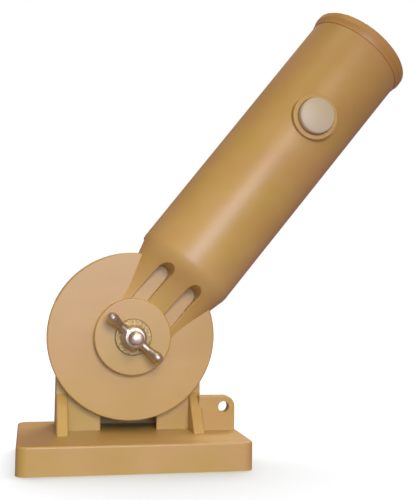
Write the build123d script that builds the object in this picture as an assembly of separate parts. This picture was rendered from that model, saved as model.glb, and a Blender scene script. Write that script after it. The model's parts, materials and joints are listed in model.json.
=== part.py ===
from build123d import *
import math
import os

os.makedirs("parts", exist_ok=True)

# Adjustable rod holder. Millimetres, +Z up, +X to the right, +Y away from the wing nut's side.
# The origin is the middle of the base's underside. The tube arm is drawn upright about the
# pivot, with its length along +Z, and then leaned over to its stored tilt.

# ---------------------------------------------------------------- driving dimensions
# Base block
BASE_W = 131.0
BASE_D = 87.0
BASE_H = 16.0
BASE_CORNER_R = 6.3
BASE_TOP_R = 1.2
CELL_ROOF_T = 4.0
CELL_RIB_HALF_T = 2.0
CELL_X = 24.0
CELL_Y = 30.0
END_CELL_INNER_X = 46.5
END_CELL_OUTER_X = 58.0
END_CELL_Y = 17.0
PAD_W = 119.0
PAD_D = 75.0
PAD_T = 2.0
PAD_CORNER_R = 4.0
PAD_GAP = 0.15

# Deck fixing: four blind brass inserts in the underside
INSERT_X = 52.0
INSERT_Y = 28.0
INSERT_R = 4.4
INSERT_BORE_R = 2.5
INSERT_L = 11.0
INSERT_BOSS_R = 6.2
INSERT_BOSS_GAP = 0.3
INSERT_ROOF_T = 1.0
GRIP_GROOVES_Z = (4.0, 7.5)
GRIP_GROOVE_H = 1.0
GRIP_GROOVE_DEPTH = 0.5

# Pivot
PIVOT_Z = 72.5
TILT_DEG = 51.8

# Pedestal housing
PED_HALF_W = 43.3
PED_WALL_SIDE = 6.8
PED_WALL = 4.0
PED_CORNER_R = 2.0
PED_FRONT_Y = 5.0
PED_BACK_Y = 35.0
HEAD_R = 46.3
HEAD_WALL = 4.0
SHOULDER_Z = 57.0
GUSSET_FOOT_Y = -13.0
GUSSET_TOP_Z = 38.0
GUSSET_TOE_H = 1.0
GUSSET_ROOT = 1.0
WINDOW_HALF_W = 16.8
WINDOW_TOP_Z = 38.0
WINDOW_R = 3.0
PIVOT_BOSS_R = 10.0
PED_EDGE_R = 1.0
PED_BACK_EDGE_R = 1.2
WINDOW_EDGE_R = 0.8
BACK_EDGE_MIN_L = 30.0
BACK_EDGE_MIN_H = 15.0
TOUCH = 0.05

# Lanyard ear on the pedestal's right side
EAR_RIGHT_X = 63.9
EAR_TOP_Z = 36.6
EAR_FRONT_Y = -1.8
EAR_T = 7.0
EAR_CORNER_R = 6.5
EAR_EDGE_R = 0.8
EAR_ROOT = 1.5
EAR_HOLE_X = 57.0
EAR_HOLE_Z = 30.0
EAR_HOLE_R = 3.3

# Screws that hold the pedestal to the base, driven from below
SCREW_R = 1.9
SCREW_HEAD_R = 3.8
SCREW_HEAD_H = 2.4
SCREW_TOP_Z = 27.0
SCREW_SEAT_Z = 6.0
SCREW_CLEAR = 0.2
SCREW_HEAD_CLEAR = 0.4
SCREW_HEAD_EDGE_R = 0.8
SCREW_CROSS_L = 4.0
SCREW_CROSS_W = 0.9
SCREW_CROSS_DEPTH = 1.2
SCREW_POINT_L = 2.0
SCREW_POINT_R = 0.5
POST_R = 5.2
POST_TOP_Z = 34.0
FRONT_SCREW_X = 39.9
FRONT_SCREW_Y = 1.0
REAR_SCREW_X = 32.0
REAR_SCREW_Y = 25.0

# Friction clutch between pedestal and arm
ARM_REAR_Y = 2.0
RING_T = 1.0
RING_INNER_R = 18.0
RING_OUTER_R = 47.0
SEAT_R = 48.0
SEAT_BORE_R = 10.4
SEAT_SCREW_PCD_R = 31.0
SEAT_SCREW_R = 1.6
SEAT_SCREW_HEAD_R = 3.1
SEAT_SCREW_END_Y = 17.0
SEAT_SCREW_POINT_L = 2.0
SEAT_BOSS_R = 4.2
SEAT_BOSS_CAP_T = 2.0

# Arm: disc, hub and tube
DISC_R = 50.0
DISC_FRONT_Y = -3.2
HUB_R = 22.8
HUB_FRONT_Y = -8.4
DISC_EDGE_R = 1.0
HUB_EDGE_R = 0.9
TUBE_R = 31.5
TUBE_MOUTH_R = 32.3
TUBE_BORE_R = 25.5
TUBE_AXIS_Y = 6.0
TUBE_START = 51.5
TUBE_ROUND_FROM = 56.0
TUBE_FLOOR = 62.0
TUBE_POCKET_R = 25.0
TUBE_END = 235.5
DRAIN_R = 2.5
DRAIN_Y = 21.0

# Shoulder between hub and tube: (distance from pivot, half width, rise over the tube's mid plane)
SHOULDER_SECTIONS = (
    (13.0, 28.1, 12.5),
    (23.0, 27.2, 14.1),
    (32.0, 27.5, 17.3),
    (40.0, 28.5, 22.3),
    (47.0, 30.1, 28.0),
    (52.0, 31.3, 30.8),
    (TUBE_ROUND_FROM, TUBE_R, TUBE_R),
)
SLOT_X = 10.6
SLOT_HALF_W = 4.2
SLOT_END = 44.4
SLOT_START = 12.0
SLOT_FLOOR_Y = -3.5
SLOT_FRONT_Y = -30.0
SLOT_END_DRAFT_DEG = 8.0
SLOT_RIM_R = 0.8
SLOT_RIM_MARGIN = 0.3
SLOT_RIM_MIN_DEPTH = 1.5

# Collar round the tube's mouth
COLLAR_R = 33.7
COLLAR_SKIRT_T = 0.4
COLLAR_START = 229.6
COLLAR_LIP = 233.4
COLLAR_COVE_RISE = 0.5
COLLAR_COVE_DROP = 1.3
COLLAR_END = 238.0
COLLAR_MOUTH_R = 26.2
COLLAR_EDGE_R = 1.8
COLLAR_INNER_EDGE_R = 1.3

# Rubber butt cushion, in a pocket just narrower than the bore
CUSHION_T = 6.0
CUSHION_GAP = 0.2
CUSHION_HOLE_R = 4.0
CUSHION_DISH_R = 8.0
CUSHION_DISH_H = 3.0
CUSHION_RIM_W = 3.0

# Push button on the tube's front
BUTTON_AT = 170.0
TUBE_SPREAD = (TUBE_MOUTH_R - TUBE_R) / (COLLAR_START - TUBE_ROUND_FROM)
TUBE_FRONT_Y = TUBE_AXIS_Y - TUBE_R - TUBE_SPREAD * (BUTTON_AT - TUBE_ROUND_FROM)
BOSS_R = 14.2
BOSS_FRONT_Y = TUBE_FRONT_Y - 0.4
BEZEL_T = 1.6
BEZEL_EDGE_R = 0.7
BEZEL_BORE_R = 11.05
BUTTON_R = 10.95
BUTTON_FRONT_Y = TUBE_FRONT_Y - 6.9
BUTTON_DOME_H = 0.9
BUTTON_EDGE_R = 1.6
BUTTON_POCKET_R = 12.4
BUTTON_FLANGE_R = 12.1
BUTTON_FLANGE_T = 0.8
BUTTON_FLANGE_GAP = 0.1
BUTTON_FLOOR_Y = TUBE_FRONT_Y + 4.2
BUTTON_CAVITY_R = 9.3
BUTTON_ROOF_T = 2.4
STEM_R = 3.9
STEM_CLEAR = 0.06
STEM_ROOT = 0.5
TIP_T = 1.6
TIP_EDGE_R = 0.6
SPRING_R = 6.6
SPRING_WIRE_R = 0.45
SPRING_TURNS = 4

# Pivot bolt, bushing, washers and wing nut
BOLT_R = 3.95
BOLT_END_Y = -30.5
BOLT_HEAD_R = 10.0
BOLT_HEAD_H = 4.4
BOLT_HEAD_RIM_T = 1.0
BOLT_END_EDGE_R = 1.4
BOLT_NECK = 8.0
BOLT_NECK_DEPTH = 3.0
NECK_PLATE = 22.0
NECK_PLATE_T = 2.0
BUSH_R = 7.0
BUSH_BORE_R = 4.0
BOLT_CLEAR_R = 4.4
FLAT_WASHER_R = 10.8
FLAT_WASHER_T = 1.6
FLAT_WASHER_EDGE = 0.4
WASHER_BORE_R = 4.2
SPRING_WASHER_R = 7.4
SPRING_WASHER_T = 2.0
SPRING_WASHER_SLIT = 1.6
SPRING_WASHER_DEG = 25.0
STACK_GAP = 0.05
NUT_BORE_R = 4.0
NUT_BASE_R = 7.6
NUT_TOP_R = 6.7
NUT_H = 7.5
NUT_SKIRT_H = 2.0
NUT_EDGE = 0.8
WING_SPAN = 42.5
WING_TIP_R = 5.0
WING_TIP_RISE = 7.2
WING_T = 3.4
WING_DEG = 41.0
WING_ROOT = 1.4
WING_ROOT_LOW = 1.2
WING_ROOT_HIGH = 0.8
WING_HEEL_IN = 2.0
WING_HEEL_DROP = 0.6
WING_BROW_IN = 5.0
WING_BROW_DROP = 2.4

# Depths of the stack on the bolt, from the hub outwards
FLAT_WASHER_REAR_Y = HUB_FRONT_Y - STACK_GAP
SPRING_WASHER_REAR_Y = FLAT_WASHER_REAR_Y - FLAT_WASHER_T
NUT_REAR_Y = SPRING_WASHER_REAR_Y - SPRING_WASHER_T
NUT_FRONT_Y = NUT_REAR_Y - NUT_H


# ---------------------------------------------------------------- helpers
def block(x0, x1, y0, y1, z0, z1):
    """A box given by its limits."""
    return Pos((x0 + x1) / 2, (y0 + y1) / 2, (z0 + z1) / 2) * Box(x1 - x0, y1 - y0, z1 - z0)


def cyl_y(radius, y0, y1, x=0.0, z=0.0):
    """A cylinder along Y between two depths."""
    return Pos(x, (y0 + y1) / 2, z) * Rot(90, 0, 0) * Cylinder(radius, y1 - y0)


def cyl_z(radius, z0, z1, x=0.0, y=0.0):
    """A cylinder along Z between two heights."""
    return Pos(x, y, (z0 + z1) / 2) * Cylinder(radius, z1 - z0)


def turned_y(points, z=0.0, x=0.0):
    """A solid of revolution about an axis along Y, from (radius, y) points."""
    outline = make_face(Polyline(*[(r, y, 0) for r, y in points], close=True))
    return Pos(x, 0, z) * revolve(outline, Axis.Y, 360)


def rounded_slab(width, depth, z0, z1, corner_r):
    """A plate with rounded upright corners, centred on the origin."""
    return extrude(Pos(0, 0, z0) * RectangleRounded(width, depth, corner_r), z1 - z0)


def prism_x(points, x0, x1):
    """A prism along X from (y, z) points."""
    outline = make_face(Polyline(*[(x0, y, z) for y, z in points], close=True))
    return extrude(outline, amount=x1 - x0, dir=(1, 0, 0))


def rounded(body, chosen, radius):
    """Rounds the edges that a test chooses."""
    return fillet(body.edges().filter_by(chosen), radius)


def leaned(shape):
    """Moves a shape drawn upright about the pivot to its place on the holder."""
    return Pos(0, 0, PIVOT_Z) * Rot(0, 90 - TILT_DEG, 0) * shape


def at_pivot(shape):
    """Moves a shape drawn about the bolt's axis up to the pivot's height."""
    return Pos(0, 0, PIVOT_Z) * shape


def save(shape, name):
    shape.label = name
    export_step(shape, f"parts/{name}.step")


# ---------------------------------------------------------------- base
def insert_places():
    return [(sx * INSERT_X, sy * INSERT_Y) for sx in (-1, 1) for sy in (-1, 1)]


def screw_places():
    front = [(sx * FRONT_SCREW_X, FRONT_SCREW_Y) for sx in (-1, 1)]
    rear = [(sx * REAR_SCREW_X, REAR_SCREW_Y) for sx in (-1, 1)]
    return front + rear


def mounting_base():
    """Block with a recess for the pad, blind insert holes, screw holes and hollowed cells."""
    body = rounded_slab(BASE_W, BASE_D, 0, BASE_H, BASE_CORNER_R)
    body = fillet(body.faces().sort_by(Axis.Z)[-1].edges(), BASE_TOP_R)
    body -= rounded_slab(PAD_W, PAD_D, 0, PAD_T, PAD_CORNER_R)
    roof = BASE_H - CELL_ROOF_T
    cells = ((CELL_RIB_HALF_T, CELL_X, CELL_Y), (END_CELL_INNER_X, END_CELL_OUTER_X, END_CELL_Y))
    for near, far, y in cells:
        body -= block(near, far, -y, y, PAD_T, roof)
        body -= block(-far, -near, -y, y, PAD_T, roof)
    for x, y in insert_places():
        body += cyl_z(INSERT_BOSS_R, 0, PAD_T, x, y)
        body -= cyl_z(INSERT_R, 0, INSERT_L, x, y)
    for x, y in screw_places():
        body -= cyl_z(SCREW_R + SCREW_CLEAR, PAD_T, BASE_H, x, y)
        body -= cyl_z(SCREW_HEAD_R + SCREW_HEAD_CLEAR, PAD_T, SCREW_SEAT_Z, x, y)
    return body


def deck_pad():
    """Non-slip pad that fills the recess and lies flush with the base's rim."""
    pad = rounded_slab(PAD_W - 2 * PAD_GAP, PAD_D - 2 * PAD_GAP, 0, PAD_T, PAD_CORNER_R)
    for x, y in insert_places():
        pad -= cyl_z(INSERT_BOSS_R + INSERT_BOSS_GAP, 0, PAD_T, x, y)
    return pad


def deck_insert(x, y):
    """Brass threaded insert, open downwards, with two grip grooves round its outside."""
    body = cyl_z(INSERT_R, 0, INSERT_L, x, y)
    body -= cyl_z(INSERT_BORE_R, 0, INSERT_L - INSERT_ROOF_T, x, y)
    core_r = INSERT_R - GRIP_GROOVE_DEPTH
    for z in GRIP_GROOVES_Z:
        top = z + GRIP_GROOVE_H
        body -= cyl_z(INSERT_R, z, top, x, y) - cyl_z(core_r, z, top, x, y)
    return body


def pedestal_screw(x, y):
    """Pan-head screw with a cross recess, head down."""
    head_z = SCREW_SEAT_Z - SCREW_HEAD_H
    head = cyl_z(SCREW_HEAD_R, head_z, SCREW_SEAT_Z, x, y)
    head = fillet(head.faces().sort_by(Axis.Z)[0].edges(), SCREW_HEAD_EDGE_R)
    groove = Box(SCREW_CROSS_L, SCREW_CROSS_W, SCREW_CROSS_DEPTH)
    for turn in (0, 90):
        head -= Pos(x, y, head_z + SCREW_CROSS_DEPTH / 2) * Rot(0, 0, turn) * groove
    point = Cone(SCREW_R, SCREW_POINT_R, SCREW_POINT_L)
    point = Pos(x, y, SCREW_TOP_Z - SCREW_POINT_L / 2) * point
    return head + cyl_z(SCREW_R, SCREW_SEAT_Z, SCREW_TOP_Z - SCREW_POINT_L, x, y) + point


# ---------------------------------------------------------------- pedestal
def seat_screw_places():
    """Three places round the pivot, as (x, z) from the pivot."""
    turns = [math.radians(90 + 120 * i) for i in range(3)]
    return [(SEAT_SCREW_PCD_R * math.cos(t), SEAT_SCREW_PCD_R * math.sin(t)) for t in turns]


def ear():
    """Lug with the lanyard hole; its outer top corner is rounded."""
    lug = block(PED_HALF_W - EAR_ROOT, EAR_RIGHT_X, EAR_FRONT_Y, EAR_FRONT_Y + EAR_T, BASE_H, EAR_TOP_Z)
    corner = lug.edges().filter_by(Axis.Y).sort_by(Axis.Z)[-2:].sort_by(Axis.X)[-1]
    lug = fillet(corner, EAR_CORNER_R)
    rim = lug.faces().filter_by(Axis.Y).edges().filter_by(lambda e: e.center().X > PED_HALF_W)
    rim = rim.filter_by(lambda e: e.center().Z > BASE_H + TOUCH)
    lug = fillet(rim, EAR_EDGE_R)
    return lug - cyl_y(EAR_HOLE_R, EAR_FRONT_Y, EAR_FRONT_Y + EAR_T, EAR_HOLE_X, EAR_HOLE_Z)


def is_buttress_edge(edge, x):
    """A straight edge of a buttress on its face at +x or -x, in front of the panel."""
    middle = edge.center()
    beside = abs(abs(middle.X) - x) < TOUCH and edge.geom_type == GeomType.LINE
    in_front = middle.Y < PED_FRONT_Y - PED_EDGE_R and edge.bounding_box().max.Y < PED_FRONT_Y + TOUCH
    return beside and in_front and edge.bounding_box().max.Z > BASE_H + TOUCH


def is_window_edge(edge):
    """An edge of the window on the panel's front, above the base."""
    middle = edge.center()
    in_panel = abs(middle.Y - PED_FRONT_Y) < TOUCH
    beside = abs(middle.X) < WINDOW_HALF_W + TOUCH and BASE_H + TOUCH < middle.Z
    return in_panel and beside and edge.bounding_box().max.Z < WINDOW_TOP_Z + TOUCH


def is_back_edge(edge):
    """One of the long edges round the housing's back."""
    bounds = edge.bounding_box()
    on_back = bounds.min.Y > PED_BACK_Y - TOUCH and edge.center().Z > BASE_H + TOUCH
    return on_back and edge.length > BACK_EDGE_MIN_L and bounds.size.Z > BACK_EDGE_MIN_H


def pedestal():
    """Hollow housing: post, round head, two buttresses, window, screw posts and the ear."""
    post = block(-PED_HALF_W, PED_HALF_W, PED_FRONT_Y, PED_BACK_Y, BASE_H, SHOULDER_Z)
    post = fillet(post.edges().filter_by(Axis.Z).sort_by(Axis.Y)[-2:], PED_CORNER_R)
    body = post + cyl_y(HEAD_R, PED_FRONT_Y, PED_BACK_Y, 0, PIVOT_Z)
    root_y = PED_FRONT_Y + GUSSET_ROOT
    slope = [(GUSSET_FOOT_Y, BASE_H), (GUSSET_FOOT_Y, BASE_H + GUSSET_TOE_H)]
    slope += [(PED_FRONT_Y, GUSSET_TOP_Z), (root_y, GUSSET_TOP_Z), (root_y, BASE_H)]
    inner_x = PED_HALF_W - PED_WALL_SIDE
    for x0, x1 in ((-PED_HALF_W, -inner_x), (inner_x, PED_HALF_W)):
        body += prism_x(slope, x0, x1)

    front = PED_FRONT_Y + PED_WALL
    back = PED_BACK_Y - PED_WALL
    hollow = block(-inner_x, inner_x, front, back, BASE_H, SHOULDER_Z)
    hollow += cyl_y(HEAD_R - HEAD_WALL, front, back, 0, PIVOT_Z)
    hollow -= cyl_y(PIVOT_BOSS_R, front, back, 0, PIVOT_Z)
    for x, z in seat_screw_places():
        hollow -= cyl_y(SEAT_BOSS_R, front, SEAT_SCREW_END_Y + SEAT_BOSS_CAP_T, x, PIVOT_Z + z)
    for sx in (-1, 1):
        hollow -= cyl_z(POST_R, BASE_H, POST_TOP_Z, sx * REAR_SCREW_X, REAR_SCREW_Y)
    body -= hollow

    window = block(-WINDOW_HALF_W, WINDOW_HALF_W, PED_FRONT_Y, front, BASE_H, WINDOW_TOP_Z)
    window = fillet(window.edges().filter_by(Axis.Y).sort_by(Axis.Z)[-2:], WINDOW_R)
    body -= window
    body += ear()

    for x, y in screw_places():
        body -= cyl_z(SCREW_R, BASE_H, SCREW_TOP_Z, x, y)
    for x, z in seat_screw_places():
        body -= cyl_y(SEAT_SCREW_R, PED_FRONT_Y, SEAT_SCREW_END_Y, x, PIVOT_Z + z)
    body -= cyl_y(BOLT_CLEAR_R, PED_FRONT_Y, PED_BACK_Y, 0, PIVOT_Z)
    recess_y = PED_BACK_Y - NECK_PLATE_T
    half = NECK_PLATE / 2
    body -= block(-half, half, recess_y, PED_BACK_Y, PIVOT_Z - half, PIVOT_Z + half)
    half = BOLT_NECK / 2
    neck_y = recess_y - BOLT_NECK_DEPTH
    body -= block(-half, half, neck_y, recess_y, PIVOT_Z - half, PIVOT_Z + half)

    for x in (inner_x, PED_HALF_W):
        body = rounded(body, lambda edge: is_buttress_edge(edge, x), PED_EDGE_R)
    body = rounded(body, is_window_edge, WINDOW_EDGE_R)
    return rounded(body, is_back_edge, PED_BACK_EDGE_R)


# ---------------------------------------------------------------- clutch
def friction_seat():
    """Fixed plate on the pedestal's face, with countersunk screw holes."""
    seat_front = ARM_REAR_Y + RING_T
    plate = cyl_y(SEAT_R, seat_front, PED_FRONT_Y)
    plate -= cyl_y(SEAT_BORE_R, seat_front, PED_FRONT_Y)
    for x, z in seat_screw_places():
        plate -= seat_screw(x, z)
    return plate


def friction_ring():
    """Thin friction ring between the fixed plate and the arm's disc."""
    ring = cyl_y(RING_OUTER_R, ARM_REAR_Y + STACK_GAP, ARM_REAR_Y + RING_T)
    return ring - cyl_y(RING_INNER_R, ARM_REAR_Y, ARM_REAR_Y + RING_T)


def seat_screw(x, z):
    """Countersunk screw, head flush with the fixed plate's front."""
    top = ARM_REAR_Y + RING_T
    cone_h = SEAT_SCREW_HEAD_R - SEAT_SCREW_R
    points = [(0, top), (SEAT_SCREW_HEAD_R, top), (SEAT_SCREW_R, top + cone_h)]
    points += [(SEAT_SCREW_R, SEAT_SCREW_END_Y - SEAT_SCREW_POINT_L), (0, SEAT_SCREW_END_Y)]
    return turned_y(points, z, x)


# ---------------------------------------------------------------- tube arm
def shoulder_section(at, half_w, rise):
    """An ellipse round the tube's axis, across the arm."""
    return Pos(0, TUBE_AXIS_Y, at) * Ellipse(half_w, rise)


def slot_outline(x, y, end):
    """A groove's outline at one depth, with a round end towards the tube."""
    middle = end - SLOT_HALF_W
    left, right = x - SLOT_HALF_W, x + SLOT_HALF_W
    cap = ThreePointArc((right, y, middle), (x, y, end), (left, y, middle))
    sides = [(left, y, middle), (left, y, SLOT_START), (right, y, SLOT_START), (right, y, middle)]
    return make_face(cap + Polyline(*sides))


def slot(x):
    """One of the two grooves beside the shoulder's rib, open towards the hub; its end slopes."""
    slope = math.tan(math.radians(SLOT_END_DRAFT_DEG)) * (SLOT_FLOOR_Y - SLOT_FRONT_Y)
    floor = slot_outline(x, SLOT_FLOOR_Y, SLOT_END)
    return loft([floor, slot_outline(x, SLOT_FRONT_Y, SLOT_END + slope)])


def is_slot_rim(edge):
    """An edge where a slot's wall meets the shoulder's surface."""
    middle = edge.center()
    over_slot = abs(abs(middle.X) - SLOT_X) < SLOT_HALF_W + SLOT_RIM_MARGIN
    above_end = edge.bounding_box().max.Z > SHOULDER_SECTIONS[0][0] + TOUCH
    return over_slot and above_end and middle.Y < SLOT_FLOOR_Y - SLOT_RIM_MIN_DEPTH


def tube_arm():
    """One moulding: disc, hub, tapering shoulder with two slots, and the blind tube."""
    disc = cyl_y(DISC_R, DISC_FRONT_Y, ARM_REAR_Y)
    disc = fillet(disc.faces().sort_by(Axis.Y)[0].edges(), DISC_EDGE_R)
    shoulder = loft([shoulder_section(*section) for section in SHOULDER_SECTIONS])
    first = SHOULDER_SECTIONS[0][0]
    shoulder -= block(-TUBE_R, TUBE_R, ARM_REAR_Y, TUBE_AXIS_Y + TUBE_R, first, TUBE_START)
    for x in (-SLOT_X, SLOT_X):
        shoulder -= slot(x)
    shoulder = rounded(shoulder, is_slot_rim, SLOT_RIM_R)
    length = COLLAR_START - TUBE_ROUND_FROM
    tube = Pos(0, TUBE_AXIS_Y, TUBE_ROUND_FROM + length / 2) * Cone(TUBE_R, TUBE_MOUTH_R, length)
    tube += cyl_z(TUBE_MOUTH_R, COLLAR_START, TUBE_END, 0, TUBE_AXIS_Y)
    hub = cyl_y(HUB_R, HUB_FRONT_Y, ARM_REAR_Y)
    hub = fillet(hub.faces().sort_by(Axis.Y)[0].edges(), HUB_EDGE_R)
    button_boss = cyl_y(BOSS_R, BOSS_FRONT_Y, TUBE_AXIS_Y - TUBE_BORE_R, 0, BUTTON_AT)
    body = disc + shoulder + tube + hub + button_boss

    body -= cyl_z(TUBE_BORE_R, TUBE_FLOOR + CUSHION_T, TUBE_END, 0, TUBE_AXIS_Y)
    body -= cyl_z(TUBE_POCKET_R, TUBE_FLOOR, TUBE_FLOOR + CUSHION_T, 0, TUBE_AXIS_Y)
    body -= cyl_z(DRAIN_R, TUBE_START, TUBE_FLOOR, 0, DRAIN_Y)
    body -= cyl_y(BUTTON_POCKET_R, BOSS_FRONT_Y, BUTTON_FLOOR_Y, 0, BUTTON_AT)
    body -= cyl_y(STEM_R + STEM_CLEAR, BUTTON_FLOOR_Y, TUBE_AXIS_Y, 0, BUTTON_AT)
    body -= cyl_y(BUSH_R, HUB_FRONT_Y, ARM_REAR_Y)
    return body


def hub_bushing():
    """Plain bearing pressed into the hub; it turns on the bolt."""
    return cyl_y(BUSH_R, HUB_FRONT_Y, ARM_REAR_Y) - cyl_y(BUSH_BORE_R, HUB_FRONT_Y, ARM_REAR_Y)


def rim_collar():
    """Ring pressed over the tube's end: a coved lip outside and a rounded mouth inside."""
    skirt_r = TUBE_MOUTH_R + COLLAR_SKIRT_T
    inner_top_r = COLLAR_MOUTH_R + COLLAR_INNER_EDGE_R
    corner = 1 - math.sqrt(0.5)
    turn = COLLAR_EDGE_R * corner
    inner_turn_in = COLLAR_INNER_EDGE_R * corner
    cove = ThreePointArc(
        (skirt_r, 0, COLLAR_START),
        (skirt_r + COLLAR_COVE_RISE, 0, COLLAR_LIP - COLLAR_COVE_DROP),
        (COLLAR_R, 0, COLLAR_LIP),
    )
    outer_turn = ThreePointArc(
        (COLLAR_R, 0, COLLAR_END - COLLAR_EDGE_R),
        (COLLAR_R - turn, 0, COLLAR_END - turn),
        (COLLAR_R - COLLAR_EDGE_R, 0, COLLAR_END),
    )
    inner_turn = ThreePointArc(
        (inner_top_r, 0, COLLAR_END),
        (COLLAR_MOUTH_R + inner_turn_in, 0, COLLAR_END - inner_turn_in),
        (COLLAR_MOUTH_R, 0, COLLAR_END - COLLAR_INNER_EDGE_R),
    )
    seat = Polyline(
        (COLLAR_MOUTH_R, 0, COLLAR_END - COLLAR_INNER_EDGE_R),
        (COLLAR_MOUTH_R, 0, TUBE_END),
        (TUBE_MOUTH_R, 0, TUBE_END),
        (TUBE_MOUTH_R, 0, COLLAR_START),
        (skirt_r, 0, COLLAR_START),
    )
    side = Line((COLLAR_R, 0, COLLAR_LIP), (COLLAR_R, 0, COLLAR_END - COLLAR_EDGE_R))
    top = Line((COLLAR_R - COLLAR_EDGE_R, 0, COLLAR_END), (inner_top_r, 0, COLLAR_END))
    outline = make_face(cove + side + outer_turn + top + inner_turn + seat)
    return Pos(0, TUBE_AXIS_Y, 0) * revolve(outline, Axis.Z, 360)


def butt_cushion():
    """Rubber cushion on the tube's floor, dished, with a drain hole."""
    radius = TUBE_POCKET_R - CUSHION_GAP
    pad = cyl_z(radius, TUBE_FLOOR, TUBE_FLOOR + CUSHION_T)
    dish = Cone(CUSHION_DISH_R, radius - CUSHION_RIM_W, CUSHION_DISH_H)
    pad -= Pos(0, 0, TUBE_FLOOR + CUSHION_T) * dish
    pad -= cyl_z(CUSHION_HOLE_R, TUBE_FLOOR, TUBE_FLOOR + CUSHION_T)
    pad = Pos(0, TUBE_AXIS_Y, 0) * pad
    return pad - cyl_z(DRAIN_R, TUBE_FLOOR, TUBE_FLOOR + CUSHION_T, 0, DRAIN_Y)


# ---------------------------------------------------------------- push button
def button_bezel():
    """Ring that closes the button's pocket and keeps the button's flange in."""
    front = BOSS_FRONT_Y - BEZEL_T
    ring = cyl_y(BOSS_R, front, BOSS_FRONT_Y) - cyl_y(BEZEL_BORE_R, front, BOSS_FRONT_Y)
    ring = fillet(ring.faces().sort_by(Axis.Y)[0].edges(), BEZEL_EDGE_R)
    return Pos(0, 0, BUTTON_AT) * ring


def lock_button():
    """Domed cap with a flange and a stem; hollow behind for the spring."""
    flange_y = BOSS_FRONT_Y + BUTTON_FLANGE_GAP
    roof_y = BUTTON_FRONT_Y + BUTTON_ROOF_T
    cap = cyl_y(BUTTON_R, BUTTON_FRONT_Y, flange_y)
    dome_r = (BUTTON_R ** 2 + BUTTON_DOME_H ** 2) / (2 * BUTTON_DOME_H)
    cap = cap & (Pos(0, BUTTON_FRONT_Y + dome_r, 0) * Sphere(dome_r))
    cap = fillet(cap.edges().filter_by(GeomType.CIRCLE).sort_by(Axis.Y)[0], BUTTON_EDGE_R)
    cap += cyl_y(BUTTON_FLANGE_R, flange_y, flange_y + BUTTON_FLANGE_T)
    cap -= cyl_y(BUTTON_CAVITY_R, roof_y, flange_y + BUTTON_FLANGE_T)
    stem_end = TUBE_AXIS_Y - TUBE_BORE_R - TIP_T
    cap += cyl_y(STEM_R, roof_y - STEM_ROOT, stem_end)
    return Pos(0, 0, BUTTON_AT) * cap


def button_tip():
    """Soft tip on the stem's inner end, level with the bore while the button is out."""
    end_y = TUBE_AXIS_Y - TUBE_BORE_R
    tip = cyl_y(STEM_R, end_y - TIP_T, end_y)
    tip = fillet(tip.faces().sort_by(Axis.Y)[-1].edges(), TIP_EDGE_R)
    return Pos(0, 0, BUTTON_AT) * tip


def button_spring():
    """Coil spring round the stem, between the button's roof and the pocket's floor."""
    low = BUTTON_FRONT_Y + BUTTON_ROOF_T + SPRING_WIRE_R
    high = BUTTON_FLOOR_Y - SPRING_WIRE_R
    pitch = (high - low) / SPRING_TURNS
    path = Helix(pitch=pitch, height=high - low, radius=SPRING_R)
    section = Plane(origin=path @ 0, z_dir=path % 0) * Circle(SPRING_WIRE_R)
    coil = sweep(section, path=path)
    return Pos(0, high, BUTTON_AT) * Rot(90, 0, 0) * coil


# ---------------------------------------------------------------- pivot hardware
def pivot_bolt():
    """Carriage bolt from the back: domed head, square neck, rounded end."""
    head_y = PED_BACK_Y
    rim_y = head_y + BOLT_HEAD_RIM_T
    crown_y = head_y + BOLT_HEAD_H
    rise = crown_y - rim_y
    sphere_r = (BOLT_HEAD_R ** 2 + rise ** 2) / (2 * rise)
    ball = Pos(0, crown_y - sphere_r, 0) * Sphere(sphere_r)
    dome = cyl_y(BOLT_HEAD_R, head_y, rim_y) + (ball & cyl_y(BOLT_HEAD_R, rim_y, crown_y))
    half = BOLT_NECK / 2
    neck_y = PED_BACK_Y - NECK_PLATE_T - BOLT_NECK_DEPTH
    neck = block(-half, half, neck_y, head_y, -half, half)
    shank = cyl_y(BOLT_R, BOLT_END_Y, neck_y)
    shank = fillet(shank.faces().sort_by(Axis.Y)[0].edges(), BOLT_END_EDGE_R)
    return dome + neck + shank


def neck_plate():
    """Steel plate let into the housing's back, with the square hole that stops the bolt turning."""
    half = NECK_PLATE / 2
    plate = block(-half, half, PED_BACK_Y - NECK_PLATE_T, PED_BACK_Y, -half, half)
    half = BOLT_NECK / 2
    return plate - block(-half, half, PED_BACK_Y - NECK_PLATE_T, PED_BACK_Y, -half, half)


def washer(radius, rear, thickness):
    """A plain ring in front of a depth."""
    front = rear - thickness
    return cyl_y(radius, front, rear) - cyl_y(WASHER_BORE_R, front, rear)


def flat_washer():
    """Flat washer with a bevelled front edge."""
    ring = washer(FLAT_WASHER_R, FLAT_WASHER_REAR_Y, FLAT_WASHER_T)
    edge = ring.faces().sort_by(Axis.Y)[0].edges().sort_by(SortBy.LENGTH)[-1]
    return chamfer(edge, FLAT_WASHER_EDGE)


def spring_washer():
    """Split lock washer."""
    ring = washer(SPRING_WASHER_R, SPRING_WASHER_REAR_Y, SPRING_WASHER_T)
    half = SPRING_WASHER_SLIT / 2
    slit = block(0, SPRING_WASHER_R, NUT_REAR_Y, SPRING_WASHER_REAR_Y, -half, half)
    return ring - Rot(0, SPRING_WASHER_DEG, 0) * slit


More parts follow.
